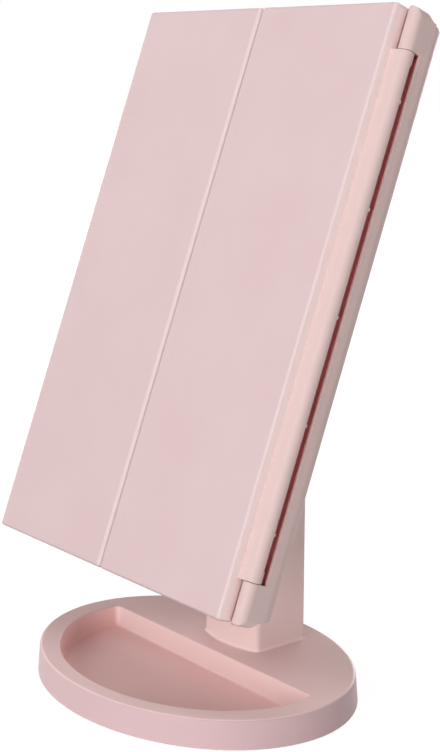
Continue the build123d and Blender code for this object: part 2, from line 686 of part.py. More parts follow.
stand_nodes = {
    "base_tray": make_base_tray(), "base_cover": make_base_cover(), "rubber_feet": make_feet(),
    "base_screws": make_base_screws(), "neck_screws": make_neck_screws(),
    "neck_column": make_neck_column(), "neck_cover": make_neck_cover(),
}
head_nodes = {
    "tilt_axle": make_tilt_axle(), "tilt_nut": make_tilt_nut(), "friction_washers": make_washers(),
    "rear_shell": make_rear_shell(), "centre_frame": make_centre_frame(),
    "centre_mirror": make_centre_mirror(),
    "light_strips": make_diffusers(), "led_boards": make_led_boards(), "leds": make_leds(),
    "touch_pad": make_touch_pad(), "control_board": make_control_board(), "usb_socket": make_usb_socket(),
    "switch_body": make_switch_body(), "power_switch": make_power_switch(), "battery_cells": make_cells(),
    "battery_contacts": make_contacts(), "battery_door": make_battery_door(),
    "shell_screws": make_shell_screws(), "hinge_pins": make_hinge_pins(),
    "right_wing_cover": right_cover, "left_wing_cover": mirror(right_cover, Plane.YZ),
    "right_wing_frame": right_frame, "left_wing_frame": left_frame,
    "right_wing_mirror": make_wing_mirror(*mirror_zones(False)[0]),
    "lower_magnifier": mirror(make_wing_mirror(*zones[0], hollow_radius=3500), Plane.YZ),
    "upper_magnifier": mirror(make_wing_mirror(*zones[1], hollow_radius=2600), Plane.YZ),
}

os.makedirs("parts", exist_ok=True)
for name, piece in stand_nodes.items():
    save(name, piece)
for name, piece in head_nodes.items():
    save(name, seat_on_pivot(piece))
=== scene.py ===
import bpy
import math
import numpy as np
from mathutils import Matrix, Vector


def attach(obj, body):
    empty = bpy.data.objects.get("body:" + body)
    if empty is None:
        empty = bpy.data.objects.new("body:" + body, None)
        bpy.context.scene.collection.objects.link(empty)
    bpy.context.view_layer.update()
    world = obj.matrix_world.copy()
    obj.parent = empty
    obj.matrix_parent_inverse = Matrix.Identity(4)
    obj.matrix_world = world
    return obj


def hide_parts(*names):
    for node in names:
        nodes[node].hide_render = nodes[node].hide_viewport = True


# Trifold vanity mirror on a dished oval stand: looks, lights and camera.
# Sizes in this file are millimetres unless a name says otherwise; mm() turns them to metres.

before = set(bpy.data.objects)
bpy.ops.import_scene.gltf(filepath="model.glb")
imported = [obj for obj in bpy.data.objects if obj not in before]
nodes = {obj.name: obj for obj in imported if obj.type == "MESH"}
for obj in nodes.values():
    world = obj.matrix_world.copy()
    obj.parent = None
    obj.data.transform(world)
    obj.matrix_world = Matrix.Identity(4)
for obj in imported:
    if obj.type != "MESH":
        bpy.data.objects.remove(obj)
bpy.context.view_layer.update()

# ---- driving dimensions, the same as in the solids ----
tilt = math.radians(20.7)                  # the head leans back this far at rest
base_half_width, base_half_depth = 84.5, 65.3
neck_front, neck_half_width = 17.8, 19.2
spigot_set_back = 17.5                     # the neck screws' middle, from the neck's front
axle_set_back, axle_height = 16.7, 166.7   # the tilt axle, from the neck's front and above the table
axle_stand_off = 20.6                      # and from the head's back
head_height, shell_back = 253.7, 23.8
plate_front, plate_back, frame_back = 10.0, 11.6, 12.8   # depths in the head, behind the centre mirror
wing_outer_x, wing_thickness = 82.6, 6.6
knuckle_height, knuckle_gap, web_end_margin = 17.8, 0.3, 20.0
web_count = 5

# ---- places that follow ----
pivot = np.array([0.0, neck_front + axle_set_back, axle_height])                 # in the world
pivot_in_head = np.array([0.0, shell_back + axle_stand_off, head_height / 2])    # in the head's own frame
web_pitch = (head_height - 2 * (knuckle_height + knuckle_gap + web_end_margin)) / (web_count - 1)


def mm(points):
    return np.asarray(points, float) / 1000.0


def from_head(points):
    """Head-frame millimetres to world ones: the axle to zero, a lean back by the tilt, zero to the axle."""
    p = np.asarray(points, float) - pivot_in_head
    c, s = math.cos(tilt), math.sin(tilt)
    leaned = np.stack([p[..., 0], p[..., 1] * c + p[..., 2] * s, p[..., 2] * c - p[..., 1] * s], -1)
    return leaned + pivot


def on_base(share, angle):
    """A point on the base's oval drawn in to a share of its size: (share a cos, share b sin) of the angle."""
    t = math.radians(angle)
    return share * base_half_width * math.cos(t), share * base_half_depth * math.sin(t)


# ================================================================ materials
first_tone, second_tone, mixed_tone = 6, 7, 2   # sockets of a Mix node that mixes colours
usual_span = (0.3, 0.7)                         # nearly all of a noise's values lie between these


def colour(code):
    """sRGB hex to linear: the low end divided by 12.92, the rest raised to 2.4."""
    v = np.array([int(code[k:k + 2], 16) for k in (0, 2, 4)]) / 255.0
    lin = np.where(v <= 0.04045, v / 12.92, ((v + 0.055) / 1.055) ** 2.4)
    return (*lin.tolist(), 1.0)


def add(tree, kind, links=None, **settings):
    """Adds one shader node and gives its outputs. links gives an input, by name or number, a socket to join,
    or a hex colour or plain value to hold; settings are the node's own."""
    node = tree.nodes.new("ShaderNode" + kind)
    for key, value in settings.items():
        setattr(node, key, value)
    for key, value in (links or {}).items():
        if isinstance(value, bpy.types.NodeSocket):
            tree.links.new(value, node.inputs[key])
        else:
            node.inputs[key].default_value = colour(value) if isinstance(value, str) else value
    return node.outputs


def new_material(name):
    """A material and its tree, still empty."""
    m = bpy.data.materials.new(name)
    m.use_nodes = True
    m.node_tree.nodes.clear()
    return m, m.node_tree


def at_head(tree):
    """Object coordinates turned and shifted into the head's own frame, still in metres."""
    c, s = math.cos(tilt), math.sin(tilt)
    turned_pivot = np.array([0.0, pivot[1] * c - pivot[2] * s, pivot[1] * s + pivot[2] * c])
    return add(tree, "Mapping", {
        "Vector": add(tree, "TexCoord")["Object"], "Rotation": (tilt, 0.0, 0.0),
        "Location": mm(pivot_in_head - turned_pivot).tolist()})[0]


def mottle(tree, where, grain_mm, detail, span=(0.0, 1.0), to=(0.0, 1.0), roughness=0.5):
    """Noise in blobs about grain_mm across, stretched so that its values within span fill to."""
    cloud = add(tree, "TexNoise", {
        "Vector": where, "Scale": 1000.0 / grain_mm, "Detail": detail, "Roughness": roughness})["Fac"]
    return add(tree, "MapRange", {
        "Value": cloud, "From Min": span[0], "From Max": span[1], "To Min": to[0], "To Max": to[1]})[0]


def region(tree, *spans):
    """1 where every value lies between its two marks in millimetres, else 0: the product, over the spans, of
    one test each, whether the value is within half the stretch of its middle."""
    share = 1.0
    for value, (low, high) in spans:
        test = add(tree, "Math", {0: value, 1: (low + high) / 2000.0, 2: (high - low) / 2000.0},
                   operation="COMPARE")[0]
        share = add(tree, "Math", {0: share, 1: test}, operation="MULTIPLY")[0]
    return share


def paint(tree, tone, *patches):
    """Lays patches of (share, colour) over a tone, one after the other: tone + share * (colour - tone)."""
    for share, over in patches:
        tone = add(tree, "Mix", {0: share, first_tone: tone, second_tone: over}, data_type="RGBA")[mixed_tone]
    return tone


def surface(tree, tone, rough, constants, height=None, relief_mm=0.0, strength=1.0):
    """Ends a material: one shader with its tone, roughness and constants, and a fine relief that is relief_mm
    deep where height runs from 0 to 1."""
    links = {"Base Color": tone, "Roughness": rough, **constants}
    if height is not None:
        links["Normal"] = add(tree, "Bump", {
            "Height": height, "Strength": strength, "Distance": relief_mm / 1000.0})[0]
    add(tree, "OutputMaterial", {"Surface": add(tree, "BsdfPrincipled", links)[0]})


# stretches of the head in its own frame where light and shade are painted, from and to. A side is measured
# outwards from the middle, a depth from the wings' front to the rear, a rise upwards.
barrel_side = (wing_outer_x + 0.2, 91.0)
rim_side, rim_depth = (wing_outer_x - 1.4, wing_outer_x + 0.2), (-1.0, 6.7)
rim_front, rim_fade = (-1.0, 1.0), (3.0, wing_thickness)     # depths: its corner, and where its painted highlight turns to a redder painted reflection
slot_side, slot_depth, slot_rise = (80.0, 88.9), (9.4, 16.5), (17.5, 236.2)
shell_side, shell_round = (88.4, 91.0), (21.2, 23.6)         # the shell's wall and the round at its back
seam_lip_x, seam_lip_depth = (-2.4, -0.05), (-1.0, 1.2)
seam_gap_x, seam_gap_depth = (-0.05, 0.6), (-1.0, 6.0)
low_edge = 1.1                                               # the painted shade at the wings' foot fades out at this height
web_half, web_side, web_depth = 0.6, (83.2, 90.3), (9.3, 12.1)


def head_painted_light(tree, tone, slot_tone, end_tone, slot_ends):
    """Light and shade painted on the head's pink: the slot behind the hinge barrels is painted redder, as
    light bounced between its walls would be, with painted highlights on its thin webs; the wings' thin outer
    edges get a painted highlight that turns to a redder painted reflection towards the back, and the lip
    beside their seam a painted highlight. Painted shade darkens the seam's gap, the shell's round back and
    the wings' foot, and all that lies outboard of the wings, barrels included, takes a tone of its own.
    slot_ends are stretches of the slot's height that take end_tone."""
    x, y, z = add(tree, "SeparateXYZ", {"Vector": at_head(tree)})
    side = add(tree, "Math", {0: x}, operation="ABSOLUTE")[0]
    behind = add(tree, "MapRange", {
        "Value": y, "From Min": rim_fade[0] / 1000.0, "From Max": rim_fade[1] / 1000.0})[0]
    rim_tone = paint(tree, "F7E4E2", (region(tree, (y, rim_front)), "DFC9C8"), (behind, "EFD2D0"))
    round_back = add(tree, "MapRange", {
        "Value": y, "From Min": shell_round[0] / 1000.0, "From Max": shell_round[1] / 1000.0,
        "To Max": region(tree, (side, shell_side))})[0]
    in_slot = region(tree, (side, slot_side), (y, slot_depth), (z, slot_rise))
    slot_tones = paint(tree, slot_tone, *[(region(tree, (z, end)), end_tone) for end in slot_ends])
    foot = add(tree, "MapRange", {
        "Value": z, "From Max": low_edge / 1000.0, "To Min": 1.0, "To Max": 0.0})[0]
    from_middle = add(tree, "Math", {0: z, 1: head_height / 2000.0}, operation="SUBTRACT")[0]
    to_web = add(tree, "Math", {0: from_middle, 1: web_pitch / 2000.0}, operation="PINGPONG")[0]
    web = region(tree, (to_web, (-web_half, web_half)), (side, web_side), (y, web_depth))
    # painted tones in order: outboard tone, painted highlight and reflection on the wings' outer edges,
    # painted shade on the round back, painted highlight on the seam's lip, painted shade in the seam's gap,
    # the painted slot, painted shade at the foot, painted highlights on the webs
    return paint(
        tree, tone,
        (region(tree, (side, barrel_side)), "D6BDBA"),
        (region(tree, (side, rim_side), (y, rim_depth)), rim_tone),
        (round_back, "BCA09D"),
        (region(tree, (x, seam_lip_x), (y, seam_lip_depth)), "DFC9C9"),
        (region(tree, (x, seam_gap_x), (y, seam_gap_depth)), "B99B9A"),
        (in_slot, slot_tones), (foot, "AE8D8A"), (web, "FFF0EE"))


dish_rim_oval = (76.0, 57.5)      # half sizes of the oval that holds the dish and its rim
below_base_top = 12.7             # a little under the base's flat top
dish_back_wall = (5.2, 12.0)      # where the dish's straight wall stands, from front to back
top_fade, top_fade_mm = (0.5, -0.6, 0.0), 40.0    # the painted light on the flat top: its direction, and how far to each side of the middle


def base_painted_light(tree, tone):
    """Light and shade painted on the base's pink: the dish is painted redder, as light bounced between its
    walls would be, and the thin wall across it paler; the flat top has painted light that grows a little
    paler towards the right front, and the outside gets painted shade, a little darker."""
    where = add(tree, "TexCoord")["Object"]
    y, z = add(tree, "SeparateXYZ", {"Vector": where})[1:]
    squeezed = add(tree, "Mapping", {
        "Vector": where, "Scale": (1000.0 / dish_rim_oval[0], 1000.0 / dish_rim_oval[1], 0.0)})[0]
    out = add(tree, "VectorMath", {0: squeezed}, operation="LENGTH")["Value"]
    in_oval = add(tree, "Math", {0: out, 1: 1.0}, operation="LESS_THAN")[0]
    below_top = add(tree, "Math", {0: z, 1: below_base_top / 1000.0}, operation="LESS_THAN")[0]
    across = add(tree, "VectorMath", {0: where, 1: top_fade}, operation="DOT_PRODUCT")["Value"]
    fade = add(tree, "MapRange", {
        "Value": across, "From Min": -top_fade_mm / 1000.0, "From Max": top_fade_mm / 1000.0})[0]
    # painted reflection: the dish redder, its thin wall across it paler
    walls = paint(tree, "EAC4C1", (region(tree, (y, dish_back_wall)), "ECCFCC"))
    below = paint(tree, tone, (0.75, "CFB1B4"), (in_oval, walls))
    # painted light on the flat top, paler towards the right front; painted shade on the outside
    return paint(tree, "CFB2B0", (fade, "EED1CF"), (below_top, below))


def moulded_abs(name, tones=("DCC0BF", "D9BCBB"), rough=(0.42, 0.5), grain_mm=0.45, relief_mm=0.012,
                painted_light=None):
    """Injection-moulded ABS in pale pink: a satin skin from a spark-eroded mould. The eye gets a soft broad
    sheen, hardly any colour change, and a very fine even grain (0.1 mm in truth, drawn coarser to show)."""
    m, t = new_material(name)
    where = add(t, "TexCoord")["Object"]
    tone = paint(t, tones[0], (mottle(t, where, 38.0, 3.0, (0.35, 0.65)), tones[1]))
    # painted light and shade, where a part has it, goes over the tone
    if painted_light:
        tone = painted_light(t, tone)
    surface(t, tone, mottle(t, where, 14.0, 4.0, usual_span, rough), {"IOR": 1.5, "Specular IOR Level": 0.2},
            mottle(t, where, grain_mm, 1.0), relief_mm, strength=0.35)
    return m


def plated_steel(name):
    """Zinc-plated steel, barrel plated: bright grey metal with cloudy spangle about 1.4 mm across."""
    m, t = new_material(name)
    where = add(t, "TexCoord")["Object"]
    spangle_mm = 1.43
    spangle = add(t, "TexVoronoi", {"Vector": where, "Scale": 1000.0 / spangle_mm})["Distance"]
    patches = add(t, "MapRange", {"Value": spangle, "From Min": 0.1, "From Max": 0.8})[0]
    surface(t, paint(t, "B9B8B4", (patches, "A3A39F")), mottle(t, where, 0.8, 3.0, usual_span, (0.24, 0.36)),
            {"Metallic": 1.0}, mottle(t, where, 0.3, 1.0), relief_mm=0.004, strength=0.4)
    return m


touch_height = 14.0                        # middle of the etched ring above the head's lower end
ring_rise, ring_gap = (3.25, 3.95), 1.3    # the ring's line from its middle, and half its opening above
bar_half, bar_rise = 0.35, (1.2, 4.8)      # the short bar that stands in the opening


def silvered_glass(name, touch_mark=False):
    """Float glass silvered behind: a clean mirror face; its ground edges show grey-green glass. The centre
    one carries an etched ring over its touch pad, matt where the etching took the polish."""
    m, t = new_material(name)
    where = at_head(t)
    face_direction = (0.0, math.cos(tilt), -math.sin(tilt))
    facing = add(t, "VectorMath", {0: add(t, "TexCoord")["Normal"], 1: face_direction},
                 operation="DOT_PRODUCT")["Value"]
    edge = add(t, "Math", {0: facing, 1: 0.0, 2: 0.93}, operation="COMPARE")[0]
    tone = paint(t, "F2F5F4", (edge, "8FA89D"))
    rough = mottle(t, where, 30.0, 4.0, (0.35, 0.75), (0.012, 0.035), 0.6)
    if touch_mark:
        place = add(t, "Mapping", {
            "Vector": where, "Location": (0.0, 0.0, -touch_height / 1000.0), "Scale": (1.0, 0.0, 1.0)})[0]
        x, _, z = add(t, "SeparateXYZ", {"Vector": place})
        far = add(t, "VectorMath", {0: place}, operation="LENGTH")["Value"]
        ring, opening = region(t, (far, ring_rise)), region(t, (x, (-ring_gap, ring_gap)), (z, (0.0, 9.0)))
        bar = region(t, (x, (-bar_half, bar_half)), (z, bar_rise))
        open_ring = add(t, "Math", {0: ring, 1: opening}, operation="SUBTRACT", use_clamp=True)[0]
        etched = add(t, "Math", {0: open_ring, 1: bar}, operation="MAXIMUM")[0]
        tone = paint(t, tone, (etched, "DDE2E2"))
        matt = add(t, "Math", {0: etched, 1: 0.55}, operation="MULTIPLY")[0]
        rough = add(t, "Math", {0: rough, 1: matt}, operation="MAXIMUM")[0]
    surface(t, tone, rough, {"Metallic": 1.0})
    return m


def frosted_acrylic(name):
    """Opal PMMA strip, moulded and lightly frosted: milky white, soft gloss, faint cloud of its filler."""
    m, t = new_material(name)
    where = at_head(t)
    surface(t, paint(t, "F4F3EE", (mottle(t, where, 6.0, 3.0), "E9E8E2")),
            mottle(t, where, 1.0, 2.0, usual_span, (0.42, 0.55)), {"IOR": 1.49},
            mottle(t, where, 0.35, 1.0), relief_mm=0.01, strength=0.5)
    return m


track_half_width, track_length, track_pitch = 0.35, 6.2, 2.4
part_depth = 17.25               # what lies behind this depth in the head stands on a board


def circuit_board(name, mask, track, part_tone):
    """FR4 board: solder mask over etched copper. Its tracks, 0.7 mm wide, show as slightly different lines,
    and what stands on the board has the tone of its moulded case."""
    m, t = new_material(name)
    where = at_head(t)
    upright = add(t, "Mapping", {"Vector": where, "Rotation": (math.pi / 2, 0.0, 0.0)})[0]
    tracks = add(t, "TexBrick", {
        "Vector": upright, "Color1": mask, "Color2": mask, "Mortar": track, "Scale": 1.0,
        "Mortar Size": track_half_width / 1000.0, "Brick Width": track_length / 1000.0,
        "Row Height": track_pitch / 1000.0})["Color"]
    depth = add(t, "SeparateXYZ", {"Vector": where})[1]
    on_board = add(t, "Math", {0: depth, 1: part_depth / 1000.0}, operation="GREATER_THAN")[0]
    surface(t, paint(t, tracks, (on_board, part_tone)), mottle(t, where, 1.5, 2.0, usual_span, (0.28, 0.4)),
            {"IOR": 1.5}, mottle(t, where, 0.5, 2.0), relief_mm=0.01, strength=0.3)
    return m


def rubber(name):
    """Grey SBR foot, compression moulded: dull, with talc bloom in pale flecks."""
    m, t = new_material(name)
    where = add(t, "TexCoord")["Object"]
    surface(t, paint(t, "5B5756", (mottle(t, where, 1.2, 5.0, (0.45, 0.7)), "6E6967")),
            mottle(t, where, 0.6, 2.0, usual_span, (0.78, 0.92)), {"IOR": 1.52},
            mottle(t, where, 0.4, 2.0), relief_mm=0.03, strength=0.6)
    return m


def nylon(name):
    """Natural PA6 washer, stamped: ivory, waxy, fine scuffing where it turns."""
    m, t = new_material(name)
    where = add(t, "TexCoord")["Object"]
    surface(t, paint(t, "EDE8DA", (mottle(t, where, 3.0, 3.0), "E2DBC9")),
            mottle(t, where, 0.5, 2.0, usual_span, (0.4, 0.55)), {"IOR": 1.53},
            mottle(t, where, 0.25, 1.0), relief_mm=0.008, strength=0.5)
    return m


def plain_finish(name, tones, rough, grain_mm, constants, relief_mm=0.006):
    """A moulded or rolled finish of two near tones: its clouding, its change of gloss and its fine relief are
    four, two and one times grain_mm across."""
    m, t = new_material(name)
    where = add(t, "TexCoord")["Object"]
    surface(t, paint(t, tones[0], (mottle(t, where, 4.0 * grain_mm, 3.0), tones[1])),
            mottle(t, where, 2.0 * grain_mm, 2.0, usual_span, rough), constants,
            mottle(t, where, grain_mm, 1.0), relief_mm, strength=0.4)
    return m


# stretches of the slot's height with the knuckles' end faces and with the barrels' end blocks, which take the
# slot's other painted tone
knuckle_ends, block_ends = ((17.0, 18.2), (235.3, 237.0)), ((17.0, 23.4), (230.3, 237.0))
# shell and wings carry painted light and shade over their pink: a redder painted slot, painted highlights on
# edges, lip and webs, painted shade in the seam, at the round back and at the foot
shell_pink = moulded_abs("satin_pink_abs", ("D8BCBA", "D5B8B6"), painted_light=lambda tree, tone: head_painted_light(
    tree, tone, "FA9C9C", "A86464", knuckle_ends))
wing_pink = moulded_abs("wing_pink_abs", ("D6BEBF", "D4BBBC"), painted_light=lambda tree, tone: head_painted_light(
    tree, tone, "EFA6A5", "D8B2B0", block_ends))
# the neck's pink is painted lighter than the rest, to make up for the head's shadow on it
neck_pink = moulded_abs("neck_pink_abs", ("EBD3D0", "E8CFCC"))
# the base carries painted light and shade: a redder dish, a top painted paler to the right front, a darker
# outside
base_pink = moulded_abs("base_pink_abs", painted_light=base_painted_light)
inner_pink = moulded_abs("inner_pink_abs", rough=(0.44, 0.54), grain_mm=0.6, relief_mm=0.02)
mirror_face = silvered_glass("silvered_float_glass")
touch_mirror = silvered_glass("silvered_glass_with_touch_ring", touch_mark=True)
opal_strip = frosted_acrylic("frosted_opal_acrylic")
zinc_steel = plated_steel("zinc_plated_steel")
grey_rubber = rubber("grey_moulded_rubber")
ivory_nylon = nylon("natural_nylon")
green_board = circuit_board("green_fr4_board", "1E5A3A", "2F7A50", "16171A")
white_board = circuit_board("white_fr4_board", "E9E9E4", "D2D3CC", "E9E9E4")
metal = {"Metallic": 1.0}
# nickel-plated spring steel: warm bright grey, drawn smooth
nickel = plain_finish("nickel_plated_spring_steel", ("CFCBC2", "BDB8AE"), (0.16, 0.26), 0.5, metal, 0.002)
# bare rolled copper, slightly toned by handling
bare_copper = plain_finish("rolled_copper_pad", ("D98A62", "C4734E"), (0.25, 0.4), 0.6, metal, 0.002)
# white PPA package with cured yellow phosphor gel
led_body = plain_finish("led_white_and_phosphor", ("F0E9B4", "E6DC92"), (0.35, 0.5), 0.3, {"IOR": 1.51})
# black glass-filled nylon, as switch cases are moulded
black_case = plain_finish("black_moulded_switch_case", ("17181A", "202124"), (0.45, 0.6), 0.25, {"IOR": 1.53})
# PVC shrink sleeve: smooth, faintly mottled where it drew tight
cell_sleeve = plain_finish("pvc_shrink_sleeve", ("3A4048", "464C55"), (0.28, 0.4), 0.8, {"IOR": 1.53}, 0.02)

by_node = {
    shell_pink: ("rear_shell", "battery_door"),
    wing_pink: ("left_wing_cover", "right_wing_cover"),
    neck_pink: ("neck_column", "neck_cover"),
    base_pink: ("base_tray", "base_cover"),
    inner_pink: ("centre_frame", "left_wing_frame", "right_wing_frame", "power_switch"),
    mirror_face: ("upper_magnifier", "lower_magnifier", "right_wing_mirror"),
    touch_mirror: ("centre_mirror",),
    opal_strip: ("light_strips",),
    zinc_steel: ("tilt_axle", "tilt_nut", "hinge_pins"),
    ivory_nylon: ("friction_washers",),
    green_board: ("control_board",),
    white_board: ("led_boards",),
    nickel: ("usb_socket",),
    bare_copper: ("touch_pad",),
    led_body: ("leds",),
    black_case: ("switch_body",),
}
for finish, names in by_node.items():
    for node_name in names:
        mesh = nodes[node_name].data
        mesh.materials.clear()
        mesh.materials.append(finish)


# ================================================================ pieces worked out on grids
def closed_grid(points):
    """Vertices and faces of a grid whose rows are closed rings, its two ends shut by fans to their middles.
    Faces are turned outwards by the sign of the volume, the sum of a.(b x c) / 6 over the triangles."""
    rows, ring = points.shape[:2]
    i, j = np.meshgrid(np.arange(rows - 1), np.arange(ring), indexing="ij")
    k = (j + 1) % ring
    quads = np.stack([i * ring + j, i * ring + k, (i + 1) * ring + k, (i + 1) * ring + j], -1).reshape(-1, 4)
    verts = np.vstack([points.reshape(-1, 3), points[:1].mean(1), points[-1:].mean(1)])
    j, last, poles = np.arange(ring), (rows - 1) * ring, rows * ring
    low = np.stack([np.full(ring, poles), (j + 1) % ring, j], -1)
    high = np.stack([np.full(ring, poles + 1), last + j, last + (j + 1) % ring], -1)
    tri = np.vstack([quads[:, :3], quads[:, [0, 2, 3]], low, high])
    a, b, c = verts[tri[:, 0]], verts[tri[:, 1]], verts[tri[:, 2]]
    if np.einsum("ij,ij->i", a, np.cross(b, c)).sum() < 0:
        quads, low, high = quads[:, ::-1], low[:, ::-1], high[:, ::-1]
    return verts, quads.tolist(), low.tolist() + high.tolist()


def piece(name, grids, finishes, body, stands_for, rows_of=None):
    """One object from several closed grids, in world millimetres. rows_of gives each row of quads the number
    of its finish."""
    verts, faces, chosen, spot = [], [], [], 0
    for points in grids:
        v, quads, caps = closed_grid(points)
        rows, ring = points.shape[:2]
        per_row = np.zeros(rows - 1, int) if rows_of is None else np.asarray(rows_of)
        chosen += np.repeat(per_row, ring).tolist() + [int(per_row[0])] * ring + [int(per_row[-1])] * ring
        faces += [[f + spot for f in face] for face in quads + caps]
        verts.append(v)
        spot += len(v)
    mesh = bpy.data.meshes.new(name)
    mesh.from_pydata(mm(np.vstack(verts)), [], faces)
    for finish in finishes:
        mesh.materials.append(finish)
    mesh.polygons.foreach_set("material_index", chosen)
    mesh.polygons.foreach_set("use_smooth", [True] * len(faces))
    mesh.set_sharp_from_angle(angle=math.radians(38.0))
    o = bpy.data.objects.new(name, mesh)
    bpy.context.scene.collection.objects.link(o)
    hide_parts(stands_for)
    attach(o, body)


def along(profile, most=0.35):
    """A profile of (radius, depth) corners with points added so that no step is longer than most."""
    p = np.asarray(profile, float)
    steps = [np.linspace(a, b, max(2, int(np.ceil(np.linalg.norm(b - a) / most)) + 1))[:-1]
             for a, b in zip(p[:-1], p[1:])]
    return np.vstack(steps + [p[-1:]])


def arc(centre, radius, start, stop, count=7):
    """Corners on a circle in the (radius, depth) plane, from start to stop degrees."""
    t = np.radians(np.linspace(start, stop, count))
    return np.stack([centre[0] + radius * np.cos(t), centre[1] + radius * np.sin(t)], -1).tolist()


def turned(profile, ring=48):
    """Surface of revolution in its own frame: (r cos a, r sin a, depth) for each profile point and angle."""
    a = np.linspace(0.0, 2.0 * np.pi, ring, endpoint=False)
    r, depth = np.asarray(profile, float).T
    return np.stack([r[:, None] * np.cos(a), r[:, None] * np.sin(a), np.repeat(depth[:, None], ring, 1)], -1)


def screw(head_radius, head_depth, shank_radius, length, sunk=False, pitch=0.9):
    """A cross-recess screw in its own frame, head top at depth 0, as one grid turned about its axis. The
    crown is pushed down by the recess: its depth times how far the point is inside either arm, and less the
    nearer the point is to the arm's end. The shank's radius shrinks by up to thread_share of itself, as a
    triangle wave of depth / pitch + angle / turn, and ends in a tapered tip."""
    arm = 0.62 * head_radius
    arm_half_width, recess_depth, thread_share = 0.13 * head_radius, 0.42 * head_radius, 0.16
    crown = along([(0.05, 0.12), (arm, 0.0)], 0.06 * head_radius)
    if sunk:
        side = [(0.8 * head_radius, 0.0), (head_radius, 0.0), (shank_radius, head_depth)]
    else:
        round_off = np.radians(np.linspace(15, 90, 6))
        side = np.stack([arm + (head_radius - arm) * np.sin(round_off),
                         0.6 * head_depth * (1.0 - np.cos(round_off))], -1).tolist()
        side += [(head_radius, head_depth), (shank_radius, head_depth)]
    side = along(side, 0.3)
    shank = along([(shank_radius, head_depth + 0.15), (shank_radius, length - 1.2)], 0.18)
    tip = [(0.6 * shank_radius, length - 0.4), (0.05, length)]
    grid = turned(np.vstack([crown, side, shank, tip]))
    # recess
    top = grid[:len(crown)]
    reach = np.hypot(top[..., 0], top[..., 1]) / arm
    across = np.abs(top[..., :2]).min(-1) / arm_half_width
    covered = np.clip(1.5 - across, 0.0, 1.0) * np.clip(1.0 - reach, 0.0, 1.0)
    top[..., 2] += recess_depth * np.minimum(1.6 * covered, 1.0) * np.clip(1.15 - reach, 0.0, 1.0)
    # thread
    threaded = grid[len(crown) + len(side):-len(tip)]
    turn = np.linspace(0.0, 1.0, grid.shape[1], endpoint=False)
    wave = np.abs(((threaded[..., 2] / pitch + turn) % 1.0) * 2.0 - 1.0)
    threaded[..., :2] *= (1.0 - thread_share * (1.0 - wave))[..., None]
    return grid


def placed(grid, origin, direction):
    """Turns a piece's own depth axis to direction and shifts its top to origin, both in its part's frame."""
    d = np.asarray(direction, float)
    side = np.cross(d, (0.0, 0.0, 1.0) if abs(d[2]) < 0.5 else (1.0, 0.0, 0.0))
    side /= np.linalg.norm(side)
    other = np.cross(d, side)
    return grid[..., :1] * side + grid[..., 1:2] * other + grid[..., 2:] * d + np.asarray(origin, float)


def coil(radii, heights, turns, wire, steps=150, ring=10):
    """A tapered coil spring: the middle line is (r cos t, r sin t, h) with r and h sliding from first to
    last, flat_turns at each end lying flat; the wire's round is carried along it square to its tangent."""
    flat_turns = 0.7
    s = np.linspace(0.0, 1.0, steps)
    t = 2.0 * np.pi * turns * s
    r = radii[0] + (radii[1] - radii[0]) * s
    rise = np.clip((s * turns - flat_turns) / (turns - 2.0 * flat_turns), 0.0, 1.0)
    line = np.stack([r * np.cos(t), r * np.sin(t), heights[0] + (heights[1] - heights[0]) * rise], -1)
    ahead = np.gradient(line, axis=0)
    ahead /= np.linalg.norm(ahead, axis=1)[:, None]
    out = np.stack([np.cos(t), np.sin(t), np.zeros(steps)], -1)
    out -= (out * ahead).sum(1)[:, None] * ahead
    out /= np.linalg.norm(out, axis=1)[:, None]
    up = np.cross(ahead, out)
    a = np.linspace(0.0, 2.0 * np.pi, ring, endpoint=False)[None, :, None]
    return line[:, None] + wire * (np.cos(a) * out[:, None] + np.sin(a) * up[:, None])


def in_part(grids, body):
    """Head pieces lean back with the head; stand pieces already stand in the world."""
    return [g if body == "stand" else from_head(g) for g in grids]


# four AAA cells: cans with rolled edges, a sleeve, a groove round the shoulder and a raised button. The two
# in the outer column stand nose up, the two in the inner one nose down.
bay_x, cell_radius, cell_length = -48.0, 5.25, 44.5
bay_low, spring_room, column_half_gap = 18.0, 3.0, 0.35
bay_high = bay_low + 2 * (cell_length + spring_room)
bay_floor = plate_front + 1.4
cell_y = bay_floor + cell_radius
cell_x = (bay_x - cell_radius - column_half_gap, bay_x + cell_radius + column_half_gap)
foot_edge = [(0.05, 0.25), (2.9, 0.25), (3.2, 0.0)] + arc((cell_radius - 0.5, 0.5), 0.5, -90, 0)
sleeve = [(cell_radius, 1.1), (cell_radius, 41.2)] + arc((cell_radius, 41.6), 0.28, 270, 90)
shoulder = [(cell_radius, 42.3)] + arc((cell_radius - 0.5, 43.0), 0.5, 0, 90) + [(2.6, 43.5), (2.5, 43.25)]
button = [(2.1, 43.25), (1.9, 43.6)] + arc((1.55, 44.15), 0.35, 0, 90) + [(0.05, 44.5)]
cell = turned(foot_edge + sleeve + shoulder + button, 40)
bare_foot_rows, bare_nose_rows, sleeve_finish, bare_finish = 3, 11, 0, 1
cell_rows = np.full(len(cell) - 1, sleeve_finish)
cell_rows[:bare_foot_rows] = cell_rows[-bare_nose_rows:] = bare_finish
cell_ends = [spring_room + row * cell_length for row in (0, 1)]
cells = [placed(cell, (cell_x[0], cell_y, bay_low + end), (0, 0, 1)) for end in cell_ends]
cells += [placed(cell, (cell_x[1], cell_y, bay_high - end), (0, 0, -1)) for end in cell_ends]
piece("dry_cells", in_part(cells, "head"), [cell_sleeve, nickel], "head", "battery_cells",
      cell_rows)


plate_half_width, plate_thickness = 4.0, 0.5
dome_radius, dome_slope, dome_height = 3.4, 1.8, 2.5


